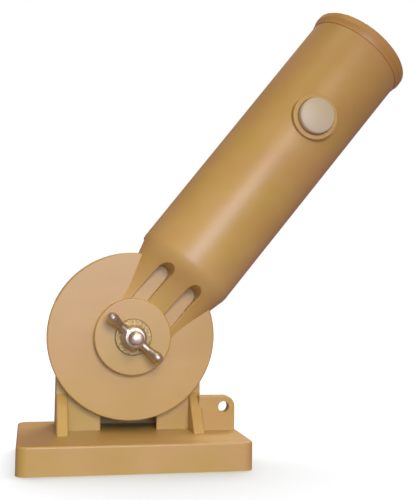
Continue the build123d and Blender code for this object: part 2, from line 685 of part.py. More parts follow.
def wing(side):
    """One wing: a flat lobe that leans outwards and forwards from the nut's boss."""
    tip_x = WING_SPAN / 2 - WING_TIP_R
    tip_y = NUT_REAR_Y - WING_TIP_RISE
    root_x = side * (NUT_TOP_R - WING_ROOT)
    lobe = Pos(side * tip_x, tip_y, 0) * Cylinder(WING_TIP_R, WING_T)
    heel = (side * (tip_x - WING_HEEL_IN), tip_y + WING_TIP_R - WING_HEEL_DROP)
    brow = (side * (tip_x - WING_BROW_IN), tip_y - WING_TIP_R + WING_BROW_DROP)
    low = (root_x, NUT_REAR_Y - WING_ROOT_LOW)
    high = (root_x, NUT_FRONT_Y + WING_ROOT_HIGH)
    web = make_face(Polyline(low, heel, (side * tip_x, tip_y), brow, high, close=True))
    return extrude(web, amount=WING_T / 2, both=True) + lobe


def wing_nut():
    """Conical boss with two wings."""
    points = [(NUT_BORE_R, NUT_REAR_Y), (NUT_BASE_R, NUT_REAR_Y)]
    points += [(NUT_BASE_R, NUT_REAR_Y - NUT_SKIRT_H), (NUT_TOP_R, NUT_FRONT_Y + NUT_EDGE)]
    points += [(NUT_TOP_R - NUT_EDGE, NUT_FRONT_Y), (NUT_BORE_R, NUT_FRONT_Y)]
    body = turned_y(points) + wing(-1) + wing(1)
    return Rot(0, WING_DEG, 0) * body


# ---------------------------------------------------------------- build and write
save(mounting_base(), "mounting_base")
save(deck_pad(), "deck_pad")
save(Compound([deck_insert(x, y) for x, y in insert_places()]), "deck_inserts")
save(pedestal(), "pedestal")
save(Compound([pedestal_screw(x, y) for x, y in screw_places()]), "pedestal_screws")
save(at_pivot(friction_seat()), "friction_seat")
save(at_pivot(Compound([seat_screw(x, z) for x, z in seat_screw_places()])), "seat_screws")
save(at_pivot(friction_ring()), "friction_ring")
save(at_pivot(pivot_bolt()), "pivot_bolt")
save(at_pivot(neck_plate()), "neck_plate")
save(at_pivot(flat_washer()), "flat_washer")
save(at_pivot(spring_washer()), "spring_washer")
save(at_pivot(wing_nut()), "wing_nut")
save(leaned(tube_arm()), "tube_arm")
save(leaned(hub_bushing()), "hub_bushing")
save(leaned(rim_collar()), "rim_collar")
save(leaned(butt_cushion()), "butt_cushion")
save(leaned(button_bezel()), "button_bezel")
save(leaned(lock_button()), "lock_button")
save(leaned(button_tip()), "button_tip")
save(leaned(button_spring()), "button_spring")
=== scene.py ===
"""Looks of an adjustable rod holder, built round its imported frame. Metres, +Z up."""

import json
import math

import bmesh
import bpy
from mathutils import Matrix, Vector

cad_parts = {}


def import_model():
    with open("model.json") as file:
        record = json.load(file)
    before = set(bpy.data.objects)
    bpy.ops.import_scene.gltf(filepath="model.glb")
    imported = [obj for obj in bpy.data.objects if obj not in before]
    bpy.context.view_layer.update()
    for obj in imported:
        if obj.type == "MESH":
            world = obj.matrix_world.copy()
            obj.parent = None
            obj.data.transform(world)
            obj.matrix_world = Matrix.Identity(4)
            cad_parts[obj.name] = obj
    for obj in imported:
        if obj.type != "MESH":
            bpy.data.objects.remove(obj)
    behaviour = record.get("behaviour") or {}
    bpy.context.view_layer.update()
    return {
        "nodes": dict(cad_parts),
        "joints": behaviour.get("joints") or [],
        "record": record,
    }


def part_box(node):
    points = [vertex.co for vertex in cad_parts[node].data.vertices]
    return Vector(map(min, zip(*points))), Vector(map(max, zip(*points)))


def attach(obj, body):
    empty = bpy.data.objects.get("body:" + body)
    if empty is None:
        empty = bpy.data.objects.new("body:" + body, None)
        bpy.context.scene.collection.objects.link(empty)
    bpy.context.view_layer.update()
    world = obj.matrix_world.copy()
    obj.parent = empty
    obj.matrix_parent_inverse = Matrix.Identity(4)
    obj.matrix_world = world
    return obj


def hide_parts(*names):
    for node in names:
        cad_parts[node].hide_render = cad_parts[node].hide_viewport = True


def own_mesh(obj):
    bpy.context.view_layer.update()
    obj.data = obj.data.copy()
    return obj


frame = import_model()
nodes = frame["nodes"]

MM = 0.001
CREASE = math.radians(45)
HOLE_STEPS = 48

# Colour sockets of Blender's mix node
MIX_A = 6
MIX_B = 7
MIX_OUT = 2

# Camera, found by matching the object's known sizes; angles in radians, lens and sensor in mm
CAMERA_AT = Vector((-0.05955, -0.49804, 0.10043))
CAMERA_YAW = 0.2096
CAMERA_PITCH = 0.0490
CAMERA_ROLL = -0.0159
CAMERA_LENS = 59.75
CAMERA_SENSOR = 36.0
CAMERA_NEAR = 10.0 * MM

# Studio: the room's even light, and the floor's own glow, which evens out the room's tint
ROOM_COLOUR = (0.33, 0.20, 0.27)
FLOOR_GLOW = (0.22, 0.34, 0.30)
FLOOR_GREY = (0.90, 0.90, 0.90)
FLOOR_WHITE = (0.93, 0.93, 0.93)
FLOOR_HALF = 6.0

# Lamps on the object: name, place, aim, size, watts, colour, spread in degrees
FRONT_AIM = (-0.06, 0.0, 0.02)
LAMPS = (
    ("key", (0.07, -0.76, 0.42), FRONT_AIM, (0.22, 0.22), 0.44, (1.00, 0.72, 0.52), 80),
    ("low_key", (-0.02, -0.80, 0.24), FRONT_AIM, (0.40, 0.30), 0.66, (0.47, 0.59, 1.00), 60),
    ("overhead", (-0.10, -0.40, 1.20), (0.0, 0.0, 0.05), (0.50, 0.50), 2.0, (1.0, 0.93, 0.70), 180),
    ("rear", (0.45, 0.80, 1.10), (0.03, 0.0, 0.11), (0.60, 0.60), 9.0, (1.0, 0.95, 0.88), 180),
)

# The floor's own sun: broad, so that the shadow on the floor is soft
SUN_STRENGTH = 2.8
SUN_WIDTH = math.radians(80)
SUN_DIRECTION = Vector((-0.15, -0.8, -1.0))


# ---------------------------------------------------------------- node helpers
class Shade:
    """A small helper for writing one procedural material."""

    def __init__(self, name):
        self.material = bpy.data.materials.new(name + "_finish")
        self.material.use_nodes = True
        self.tree = self.material.node_tree
        self.tree.nodes.clear()
        self.output = self.add("ShaderNodeOutputMaterial")
        self.shader = self.add("ShaderNodeBsdfPrincipled")
        self.join(self.shader, "BSDF", self.output, "Surface")
        self.coords = self.add("ShaderNodeTexCoord")

    def add(self, kind):
        return self.tree.nodes.new(kind)

    def join(self, source, out_name, target, in_name):
        self.tree.links.new(source.outputs[out_name], target.inputs[in_name])

    def set(self, **values):
        """Sets the shader's own sockets; an underscore stands for a space."""
        for key, value in values.items():
            self.shader.inputs[key.replace("_", " ")].default_value = value

    def noise(self, scale, detail, stretch=(1, 1, 1), turn=(0, 0, 0)):
        """Noise fixed to the object; stretch and turn lay it along one direction."""
        mapping = self.add("ShaderNodeMapping")
        mapping.inputs["Scale"].default_value = stretch
        mapping.inputs["Rotation"].default_value = turn
        self.join(self.coords, "Object", mapping, "Vector")
        node = self.add("ShaderNodeTexNoise")
        node.inputs["Scale"].default_value = scale
        node.inputs["Detail"].default_value = detail
        self.join(mapping, "Vector", node, "Vector")
        return node

    def ramp(self, noise, first, last):
        """Colours a noise from one (level, colour) stop to another."""
        node = self.add("ShaderNodeValToRGB")
        for element, (level, colour) in zip(node.color_ramp.elements, (first, last)):
            element.position = level
            element.color = (*colour, 1.0)
        self.join(noise, "Fac", node, "Fac")
        return node

    def spread(self, noise, levels, values):
        """Turns a noise's range of levels into a range of values."""
        node = self.add("ShaderNodeMapRange")
        node.inputs["From Min"].default_value = levels[0]
        node.inputs["From Max"].default_value = levels[1]
        node.inputs["To Min"].default_value = values[0]
        node.inputs["To Max"].default_value = values[1]
        self.join(noise, "Fac", node, "Value")
        return node

    def mix_in(self, ramp, colour, amount):
        """Mixes a plain colour into a ramp's, by a spread's result."""
        node = self.add("ShaderNodeMix")
        node.data_type = "RGBA"
        self.join(amount, "Result", node, "Factor")
        self.join(ramp, "Color", node, MIX_A)
        node.inputs[MIX_B].default_value = (*colour, 1.0)
        return node

    def bump(self, *rows):
        """Chains bumps from (noise, strength, distance) rows."""
        last = None
        for noise, strength, distance in rows:
            node = self.add("ShaderNodeBump")
            node.inputs["Strength"].default_value = strength
            node.inputs["Distance"].default_value = distance
            self.join(noise, "Fac", node, "Height")
            if last:
                self.join(last, "Normal", node, "Normal")
            last = node
        self.join(last, "Normal", self.shader, "Normal")


# ---------------------------------------------------------------- materials
# Tints of the mouldings: the clouds' dark and light parts, and the flow lines
TAN = ((0.525, 0.375, 0.062), (0.585, 0.402, 0.105), (0.535, 0.333, 0.085))
# A darker, redder copy of the tan for the rim collar: painted shade standing in for the rim's dim,
# reddish edges
SHADED_RIM_TAN = ((0.515, 0.335, 0.052), (0.570, 0.360, 0.085), (0.525, 0.300, 0.070))
PALE_TAN = ((0.560, 0.540, 0.255), (0.615, 0.580, 0.315), (0.585, 0.520, 0.265))

# The part of a noise's range that a roughness follows; a noise's scale is its cells in one metre
MIDDLE = (0.3, 0.7)


def moulding(name, tints):
    """Moulded nylon: cloudy colour, faint flow lines, fine satin grain."""
    deep, light, warm = tints
    m = Shade(name)
    clouds = m.noise(22.0, detail=3.0)
    flow = m.noise(55.0, detail=4.0, stretch=(0.35, 1.0, 1.0), turn=(0.0, 0.9, 0.0))
    grain = m.noise(2600.0, detail=2.0)
    peel = m.noise(420.0, detail=2.0)
    base = m.ramp(clouds, (0.35, deep), (0.65, light))
    streak = m.spread(flow, (0.45, 0.7), (0.0, 0.5))
    m.join(m.mix_in(base, warm, streak), MIX_OUT, m.shader, "Base Color")
    m.join(m.spread(clouds, MIDDLE, (0.40, 0.48)), "Result", m.shader, "Roughness")
    m.bump((peel, 0.10, 0.2 * MM), (grain, 0.10, 0.05 * MM))
    m.set(Specular_IOR_Level=0.5, Coat_Weight=0.15, Coat_Roughness=0.36)
    return m.material


def metal(name, colour, rough):
    """Plated or bare metal with a slightly uneven, finely scratched surface."""
    m = Shade(name)
    stains = m.noise(120.0, detail=4.0)
    scratches = m.noise(900.0, detail=3.0)
    dark = tuple(0.78 * c for c in colour)
    m.join(m.ramp(stains, (0.35, dark), (0.6, colour)), "Color", m.shader, "Base Color")
    m.join(m.spread(scratches, MIDDLE, (0.7 * rough, 1.4 * rough)), "Result", m.shader, "Roughness")
    m.bump((stains, 0.12, 0.2 * MM), (scratches, 0.12, 0.05 * MM))
    m.set(Metallic=1.0)
    return m.material


def matt(name, colour, rough):
    """Rubber, fibre sheet or plain plastic with a dusty, fine-grained face."""
    m = Shade(name)
    dust = m.noise(60.0, detail=4.0)
    grain = m.noise(1500.0, detail=2.0)
    dusty = tuple(1.9 * c + 0.004 for c in colour)
    m.join(m.ramp(dust, (0.4, colour), (0.75, dusty)), "Color", m.shader, "Base Color")
    m.join(m.spread(dust, MIDDLE, (rough - 0.08, rough + 0.1)), "Result", m.shader, "Roughness")
    m.bump((grain, 0.3, 0.08 * MM))
    return m.material


def paper(name):
    """The floor's pale paper, with a glow of its own."""
    m = Shade(name)
    tone = m.noise(3.0, detail=2.0)
    m.join(m.ramp(tone, (0.3, FLOOR_GREY), (0.7, FLOOR_WHITE)), "Color", m.shader, "Base Color")
    m.set(Roughness=0.9, Specular_IOR_Level=0.0)
    m.set(Emission_Color=(*FLOOR_GLOW, 1.0), Emission_Strength=1.0)
    return m.material


SLOT_MATERIALS = {
    "tan_moulding": moulding("tan_moulding", TAN),
    "pale_moulding": moulding("pale_moulding", PALE_TAN),
    "nickel_plate": metal("nickel_plate", (0.66, 0.60, 0.38), 0.42),
    "zinc_steel": metal("zinc_steel", (0.62, 0.62, 0.63), 0.34),
    "brass": metal("brass", (0.78, 0.55, 0.25), 0.28),
    "yellow_zinc": metal("yellow_zinc", (0.47, 0.35, 0.13), 0.55),
    "black_rubber": matt("black_rubber", (0.022, 0.022, 0.024), 0.62),
    "friction_fibre": matt("friction_fibre", (0.05, 0.045, 0.04), 0.8),
    "acetal": matt("acetal", (0.62, 0.60, 0.55), 0.4),
}


def finish_cad_nodes():
    """Gives each CAD node the finish of its material slot; the rim gets a darker, redder copy of the
    tan, which is painted shade for its dim edges.
    """
    for node in nodes.values():
        slot_name = node.data.materials[0].name.split(".")[0]
        node.data.materials[0] = SLOT_MATERIALS[slot_name]
    # The rim's darker, redder tan is painted shade, not a colour of its own
    nodes["rim_collar"].data.materials[0] = moulding("rim_painted_shade_moulding", SHADED_RIM_TAN)


# ---------------------------------------------------------------- mesh helpers
def joint_named(name):
    return next(joint for joint in frame["joints"] if joint["name"] == name)


def mount_named(name):
    return next(mount for mount in frame["record"]["mounts"] if mount["name"] == name)


def axes_at(point, along, upright="X"):
    """Axes at a point: Z along a direction, and the upright one as near to upright as it goes."""
    return Matrix.Translation(point) @ along.to_track_quat("Z", upright).to_matrix().to_4x4()


def piece(name, mesh, body, replaced, slot):
    """Links a finished mesh as a piece that stands for a CAD node."""
    thing = bpy.data.objects.new(name, mesh)
    bpy.context.scene.collection.objects.link(thing)
    mesh.materials.clear()
    mesh.materials.append(SLOT_MATERIALS[slot])
    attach(thing, body)
    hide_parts(replaced)
    return thing


def shade_smooth(mesh, smooth):
    mesh.polygons.foreach_set("use_smooth", [smooth] * len(mesh.polygons))


def to_mesh(bm, name, smooth=True):
    """Turns a bmesh into a mesh with its normals outwards."""
    bmesh.ops.recalc_face_normals(bm, faces=bm.faces)
    mesh = bpy.data.meshes.new(name)
    bm.to_mesh(mesh)
    bm.free()
    shade_smooth(mesh, smooth)
    return mesh


def ring(radius, height, steps, place):
    """Points round a place's Z axis; radius is a number or a function of the angle."""
    points = []
    for i in range(steps):
        angle = 2 * math.pi * i / steps
        r = radius(angle) if callable(radius) else radius
        points.append(place @ Vector((r * math.cos(angle), r * math.sin(angle), height)))
    return points


def add_band(bm, low, high):
    """Joins two loops of vertices with a band of faces."""
    steps = len(low)
    for i in range(steps):
        j = (i + 1) % steps
        bm.faces.new((low[i], low[j], high[j], high[i]))


def add_skin(bm, rings, around=False):
    """Joins rings of points into a skin, capped at both ends or closed on itself."""
    loops = [[bm.verts.new(point) for point in points] for points in rings]
    if not around:
        bm.faces.new(loops[0])
        bm.faces.new(loops[-1])
    for low, high in zip(loops, loops[1:]):
        add_band(bm, low, high)
    if around:
        add_band(bm, loops[-1], loops[0])


def turned(name, outline, steps, place, around=False):
    """A mesh turned from (radius, height) rows about a place's Z axis."""
    bm = bmesh.new()
    add_skin(bm, [ring(radius, height, steps, place) for radius, height in outline], around)
    return to_mesh(bm, name)


def applied(mesh, *rows):
    """Runs modifiers, given as (kind, settings) rows, on a mesh and returns the result."""
    thing = bpy.data.objects.new("work", mesh)
    bpy.context.scene.collection.objects.link(thing)
    for kind, settings in rows:
        modifier = thing.modifiers.new(kind, kind)
        for key, value in settings.items():
            setattr(modifier, key, value)
    graph = bpy.context.evaluated_depsgraph_get()
    result = bpy.data.meshes.new_from_object(thing.evaluated_get(graph))
    bpy.data.objects.remove(thing)
    return result


def drilled(mesh, holes, low, high, place):
    """Cuts round holes, given as (x, y, radius), along a place's Z axis from low to high."""
    bm = bmesh.new()
    for x, y, radius in holes:
        at = place @ Matrix.Translation((x, y, 0))
        add_skin(bm, [ring(radius, height, HOLE_STEPS, at) for height in (low, high)])
    cutter = bpy.data.objects.new("cutter", to_mesh(bm, "cutter", smooth=False))
    bpy.context.scene.collection.objects.link(cutter)
    cut = {"operation": "DIFFERENCE", "solver": "EXACT", "object": cutter}
    result = applied(mesh, ("BOOLEAN", cut))
    bpy.data.objects.remove(cutter)
    return result


# ---------------------------------------------------------------- wing nut
PIVOT = Vector(joint_named("tube_tilt")["pos_m"])
NUT_BORE_R = 4.0 * MM
NUT_FOOT_R = 7.4 * MM
NUT_NECK_R = 7.1 * MM
NUT_TOP_R = 6.9 * MM
NUT_CHAMFER = 1.275 * MM
NUT_BOSS_H = 7.5 * MM
NUT_STEPS = 64
NUT_VOXEL = 0.33 * MM
WING_TURN = math.radians(41.0)
WING_STEPS = 24

# Boss's outline: (radius, share of its height)
NUT_BOSS = (
    (NUT_FOOT_R, 0.0),
    (NUT_FOOT_R, 0.18),
    (NUT_NECK_R, 0.30),
    (NUT_NECK_R, 0.55),
    (NUT_TOP_R, 0.84),
    (NUT_TOP_R - NUT_CHAMFER, 1.0),
)

# Wing's spine: (distance out, height, half height, half thickness), millimetres
WING_SPINE = (
    (3.0, 4.0, 3.2, 3.0),
    (7.0, 4.3, 3.1, 2.7),
    (10.5, 5.1, 2.8, 2.2),
    (13.0, 6.1, 3.2, 2.4),
    (15.5, 7.0, 4.0, 3.1),
    (17.6, 7.4, 4.2, 3.2),
    (19.6, 7.5, 3.3, 2.5),
    (20.9, 7.5, 1.5, 1.2),
)


def nut_place(rear):
    """The nut's own axes at its rear face: X along the wings, Z out along the bolt."""
    c, s = math.cos(WING_TURN), math.sin(WING_TURN)
    axes = Matrix(((c, s, 0), (0, 0, -1), (-s, c, 0))).to_4x4()
    return Matrix.Translation((PIVOT.x, rear, PIVOT.z)) @ axes


def wing_rings(side, place):
    """Ovals along one wing's spine."""
    rings = []
    for out, height, half_height, half_thickness in WING_SPINE:
        points = []
        for i in range(WING_STEPS):
            angle = 2 * math.pi * i / WING_STEPS
            y = half_thickness * MM * math.cos(angle)
            z = (height + half_height * math.sin(angle)) * MM
            points.append(place @ Vector((side * out * MM, y, z)))
        rings.append(points)
    return rings


def wing_nut():
    """Cast wing nut: a flanged boss and two bulbous wings melted into one skin, then drilled."""
    place = nut_place(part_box("wing_nut")[1].y)
    bm = bmesh.new()
    add_skin(bm, [ring(radius, share * NUT_BOSS_H, NUT_STEPS, place) for radius, share in NUT_BOSS])
    for side in (-1, 1):
        add_skin(bm, wing_rings(side, place))
    melt = ("REMESH", {"mode": "VOXEL", "voxel_size": NUT_VOXEL})
    calm = ("SMOOTH", {"factor": 0.5, "iterations": 5})
    mesh = applied(to_mesh(bm, "wing_nut_casting"), melt, calm)
    mesh = drilled(mesh, [(0, 0, NUT_BORE_R)], -0.5 * NUT_BOSS_H, 1.5 * NUT_BOSS_H, place)
    shade_smooth(mesh, True)
    mesh.set_sharp_from_angle(angle=CREASE)
    piece("wing_nut_casting", mesh, "nut", "wing_nut", "nickel_plate")


# ---------------------------------------------------------------- carriage bolt
THREAD_PITCH = 1.25 * MM
THREAD_CREST_R = 3.95 * MM
THREAD_ROOT_R = 3.35 * MM
THREAD_START = 22.0 * MM
THREAD_FADE = 2 * THREAD_PITCH
THREAD_CUTS = 8
BOLT_END_ROUND = 1.4 * MM
BOLT_END_CUTS = 10
BOLT_HEAD_H = 4.4 * MM
BOLT_HEAD_RIM = 1.0 * MM
BOLT_DOME_CUTS = 12
BOLT_STEPS = 64
NECK_HALF = 4.0 * MM
NECK_L = 5.0 * MM
NECK_SHARPNESS = 14.0


def neck_radius(angle):
    """Radius of the square neck, with slightly rounded corners."""
    c, s = abs(math.cos(angle)), abs(math.sin(angle))
    return NECK_HALF / (c**NECK_SHARPNESS + s**NECK_SHARPNESS) ** (1 / NECK_SHARPNESS)


def thread_radius(angle, height):
    """Radius of a rolled V thread with flats at its root and crest."""
    steepness, root_flat = 1.35, 0.12
    phase = (height / THREAD_PITCH - angle / (2 * math.pi)) % 1.0
    wave = 1.0 - abs(2.0 * phase - 1.0)
    rise = min(1.0, max(0.0, steepness * wave - root_flat))
    return THREAD_ROOT_R + (THREAD_CREST_R - THREAD_ROOT_R) * rise


def shank_radius(angle, height, length):
    """Radius of the shank: plain, then threaded, then domed off at its end."""
    fade = min(1.0, max(0.0, (height - THREAD_START) / THREAD_FADE))
    radius = THREAD_CREST_R * (1 - fade) + thread_radius(angle, height) * fade
    left = length - height
    if left < BOLT_END_ROUND:
        inset = 1.0 - left / BOLT_END_ROUND
        radius = min(radius, THREAD_CREST_R * math.sqrt(max(0.0, 1.0 - inset**2)))
    return radius


def head_outline(head_r):
    """The head's dome and its thin rounded rim, as (radius, height) rows below the neck."""
    crown_r = 0.02 * head_r
    dome_r = head_r - 0.3 * BOLT_HEAD_RIM
    dome_h = BOLT_HEAD_H - BOLT_HEAD_RIM
    rows = []
    for k in range(BOLT_DOME_CUTS + 1):
        part = 0.5 * math.pi * k / BOLT_DOME_CUTS
        rows.append((max(crown_r, dome_r * math.sin(part)), -BOLT_HEAD_RIM - dome_h * math.cos(part)))
    # the rim's inset and depth, in shares of its thickness
    for inset, depth in ((0.0, 0.7), (0.0, 0.3), (0.35, 0.0)):
        rows.append((head_r - inset * BOLT_HEAD_RIM, -depth * BOLT_HEAD_RIM))
    return rows


def shank_heights(length):
    """Heights of the shank's rings: close together along the thread and over the domed end."""
    cut = THREAD_PITCH / THREAD_CUTS
    heights = [NECK_L + cut, THREAD_START]
    while heights[-1] + cut < length - BOLT_END_ROUND:
        heights.append(heights[-1] + cut)
    for k in range(BOLT_END_CUTS + 1):
        part = 0.5 * math.pi * k / BOLT_END_CUTS
        heights.append(length - BOLT_END_ROUND * (1 - math.sin(part)))
    return heights


def carriage_bolt():
    """Carriage bolt as one skin: domed head, square neck, rolled thread and a rounded end."""
    low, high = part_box("pivot_bolt")
    under = high.y - BOLT_HEAD_H
    length = under - low.y
    place = Matrix.Translation((PIVOT.x, under, PIVOT.z)) @ Matrix.Rotation(math.radians(90), 4, "X")
    rings = [ring(r, height, BOLT_STEPS, place) for r, height in head_outline((high.x - low.x) / 2)]
    rings += [ring(neck_radius, height, BOLT_STEPS, place) for height in (0.0, NECK_L)]
    for height in shank_heights(length):
        rings.append(ring(lambda angle: shank_radius(angle, height, length), height, BOLT_STEPS, place))
    bm = bmesh.new()
    add_skin(bm, rings)
    mesh = to_mesh(bm, "carriage_bolt")
    mesh.set_sharp_from_angle(angle=CREASE)
    piece("carriage_bolt", mesh, "base", "pivot_bolt", "nickel_plate")


# ---------------------------------------------------------------- studded pad under the base
STUD_PITCH = 4.3 * MM
STUD_ROOT_R = 1.65 * MM
STUD_TOP_R = 1.2 * MM
STUD_STEPS = 16
GROOVE_DEPTH = 0.8 * MM
PAD_RIM = 2.5 * MM
PAD_CORNER_R = 4.0 * MM
PAD_CORNER_CUTS = 6
PAD_HOLE_R = 6.5 * MM
PAD_WELD = 0.02 * MM

# Stud's loops: (radius, height above the pad's tread); the first follows the tile's own edge
STUD_LOOPS = (
    (None, GROOVE_DEPTH),
    (STUD_ROOT_R, GROOVE_DEPTH),
    (STUD_TOP_R, 0.12 * MM),
    (0.85 * STUD_TOP_R, 0.0),
)


def pad_outline(half_x, half_y):
    """A rectangle with round corners."""
    points = []
    for turn, (sx, sy) in enumerate(((1, 1), (-1, 1), (-1, -1), (1, -1))):
        for k in range(PAD_CORNER_CUTS + 1):
            angle = 0.5 * math.pi * (turn + k / PAD_CORNER_CUTS)
            x = sx * (half_x - PAD_CORNER_R) + PAD_CORNER_R * math.cos(angle)
            y = sy * (half_y - PAD_CORNER_R) + PAD_CORNER_R * math.sin(angle)
            points.append((x, y))
    return points


def add_stud(bm, x, y, half_x, half_y):
    """One tile of the tread: a round stud in a groove."""
    loops = []
    for radius, height in STUD_LOOPS:
        loop = []
        for k in range(STUD_STEPS):
            angle = 2 * math.pi * k / STUD_STEPS
            c, s = math.cos(angle), math.sin(angle)
            to_edge = max(abs(c), abs(s))
            reach_x = half_x / to_edge if radius is None else radius
            reach_y = half_y / to_edge if radius is None else radius
            loop.append(bm.verts.new((x + reach_x * c, y + reach_y * s, height)))
        loops.append(loop)
    for outer, inner in zip(loops, loops[1:]):
        add_band(bm, outer, inner)
    bm.faces.new(loops[-1])


def add_tread(bm, half_x, half_y):
    """Rows of studs, and the rim's inner wall; returns the wall's lower edges."""
    columns = round(2 * half_x / STUD_PITCH)
    rows = round(2 * half_y / STUD_PITCH)
    tile_x = half_x / columns
    tile_y = half_y / rows
    for i in range(columns):
        for j in range(rows):
            add_stud(bm, (2 * i + 1 - columns) * tile_x, (2 * j + 1 - rows) * tile_y, tile_x, tile_y)
    bmesh.ops.remove_doubles(bm, verts=bm.verts, dist=PAD_WELD)
    edge = [e for e in bm.edges if e.is_boundary]
    wall = bmesh.ops.extrude_edge_only(bm, edges=edge)["geom"]
    for part in wall:
        if isinstance(part, bmesh.types.BMVert):
            part.co.z = 0.0
    return [e for e in wall if isinstance(e, bmesh.types.BMEdge) and e.is_boundary]


def deck_pad():
    """Studded rubber pad: a tread of round studs inside a plain rim."""
    low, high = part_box("deck_pad")
    half_x, half_y = (high.x - low.x) / 2, (high.y - low.y) / 2
    thickness = high.z - low.z
    bm = bmesh.new()
    inner = add_tread(bm, half_x - PAD_RIM, half_y - PAD_RIM)
    outline = [bm.verts.new((x, y, 0.0)) for x, y in pad_outline(half_x, half_y)]
    outer = [bm.edges.new((a, b)) for a, b in zip(outline, outline[1:] + outline[:1])]
    bmesh.ops.triangle_fill(bm, edges=inner + outer, use_beauty=True, use_dissolve=False)
    lifted = [bm.verts.new((v.co.x, v.co.y, thickness)) for v in outline]
    add_band(bm, outline, lifted)
    bm.faces.new(lifted)
    mesh = to_mesh(bm, "studded_pad", smooth=False)
    pattern = mount_named("deck_fixing")["dims"]
    x, y = pattern["spacing_x_mm"] * MM / 2, pattern["spacing_y_mm"] * MM / 2
    holes = [(sx * x, sy * y, PAD_HOLE_R) for sx in (-1, 1) for sy in (-1, 1)]
    mesh = drilled(mesh, holes, -thickness, 2 * thickness, Matrix.Translation((0, 0, low.z)))
    piece("studded_pad", mesh, "base", "deck_pad", "black_rubber")


# ---------------------------------------------------------------- cushion on the tube's floor
CUSHION_R = 24.8 * MM
CUSHION_T = 6.0 * MM
CUSHION_RIM_W = 3.0 * MM
CUSHION_RIM_LIP = 0.4 * MM
CUSHION_DISH = 1.8 * MM
CUSHION_DISH_SLOPE = 2.2
CUSHION_GROOVE = 0.78 * MM
CUSHION_RIBS = 4
CUSHION_RIB_CUTS = 10
CUSHION_STEPS = 96
CUSHION_HOLE_R = 4.0 * MM
DRAIN_R = 2.5 * MM
DRAIN_OUT = 15.0 * MM


def cushion_outline():
    """The cushion's section: flat back, rolled edge, plain rim, then ribs down to the middle hole."""
    rows = [(CUSHION_HOLE_R, 0.0), (CUSHION_R, 0.0)]
    # the rolled edge's inset and height, in shares of the thickness
    for inset, height in ((0.0, 0.82), (0.06, 0.94), (0.2, 1.0)):
        rows.append((CUSHION_R - inset * CUSHION_T, height * CUSHION_T))
    rim_in = CUSHION_R - CUSHION_RIM_W
    rows.append((rim_in + CUSHION_RIM_LIP, CUSHION_T))
    cuts = CUSHION_RIB_CUTS * CUSHION_RIBS
    for k in range(cuts + 1):
        part = k / cuts
        dish = CUSHION_DISH * min(1.0, CUSHION_DISH_SLOPE * part)
        groove = 0.5 - 0.5 * math.cos(2 * math.pi * CUSHION_RIBS * part)
        height = CUSHION_T - dish - CUSHION_GROOVE * groove**2
        rows.append((rim_in + (CUSHION_HOLE_R - rim_in) * part, height))
    return rows


def ribbed_cushion():
    """Rubber cushion with a rolled rim, a ribbed dish, a middle hole and one drain hole."""
    socket = mount_named("rod_socket")
    along = Vector(socket["axis"])
    below = socket["dims"]["length_mm"] * MM / 2 + CUSHION_T
    floor_at = Vector(socket["pos_m"]) - along * below
    place = axes_at(floor_at, along, "Y")
    mesh = turned("ribbed_cushion", cushion_outline(), CUSHION_STEPS, place, around=True)
    drain = place.inverted() @ (floor_at + Vector((0, DRAIN_OUT, 0)))
    holes = [(drain.x, drain.y, DRAIN_R)]
    mesh = drilled(mesh, holes, -0.5 * CUSHION_T, 1.5 * CUSHION_T, place)
    mesh.set_sharp_from_angle(angle=CREASE)
    piece("ribbed_cushion", mesh, "arm", "butt_cushion", "black_rubber")


# ---------------------------------------------------------------- lock button
CAP_R = 10.95 * MM
CAP_DOME_R = 48.0 * MM
CAP_DOME_CUTS = 12
CAP_EDGE_R = 1.4 * MM
CAP_EDGE_CUTS = 10
CAP_FLANGE_R = 12.1 * MM
CAP_FLANGE_FROM = 6.6 * MM
CAP_FLANGE_TO = 7.4 * MM
CAP_ROOF_T = 2.4 * MM
CAP_CAVITY_R = 9.3 * MM
CAP_STEM_R = 3.9 * MM
CAP_STEPS = 72


def cap_outline(length):
    """The button's section, as (radius, depth) rows from its crown to its stem's end."""
    bend = math.asin((CAP_R - CAP_EDGE_R) / (CAP_DOME_R - CAP_EDGE_R))
    rows = []
    for k in range(1, CAP_DOME_CUTS + 1):
        angle = bend * k / CAP_DOME_CUTS
        rows.append((CAP_DOME_R * math.sin(angle), CAP_DOME_R * (1 - math.cos(angle))))
    edge_at = rows[-1][1] + CAP_EDGE_R * math.cos(bend)
    for k in range(1, CAP_EDGE_CUTS + 1):
        angle = bend + (math.pi / 2 - bend) * k / CAP_EDGE_CUTS
        inset = CAP_EDGE_R * (1 - math.sin(angle))
        rows.append((CAP_R - inset, edge_at - CAP_EDGE_R * math.cos(angle)))
    rows += [(CAP_R, CAP_FLANGE_FROM), (CAP_FLANGE_R, CAP_FLANGE_FROM)]
    rows += [(CAP_FLANGE_R, CAP_FLANGE_TO), (CAP_CAVITY_R, CAP_FLANGE_TO)]
    rows += [(CAP_CAVITY_R, CAP_ROOF_T), (CAP_STEM_R, CAP_ROOF_T), (CAP_STEM_R, length)]
    return rows


def domed_cap():
    """Button as one turned skin: a dome with a soft edge, a flange, and a stem in its hollow."""
    inwards = Vector(joint_named("button_press")["axis"])
    low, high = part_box("lock_button")
    front = Vector(((low.x + high.x) / 2, low.y, (low.z + high.z) / 2))
    mesh = turned("domed_cap", cap_outline(high.y - low.y), CAP_STEPS, axes_at(front, inwards))
    mesh.set_sharp_from_angle(angle=CREASE)
    piece("domed_cap", mesh, "button", "lock_button", "pale_moulding")


# ---------------------------------------------------------------- return spring behind the button
SPRING_R = 6.6 * MM
SPRING_WIRE_R = 0.45 * MM
SPRING_WIRE_STEPS = 10
SPRING_TURNS = 4
SPRING_CUTS = 28
SPRING_END_CLOSE = 0.6


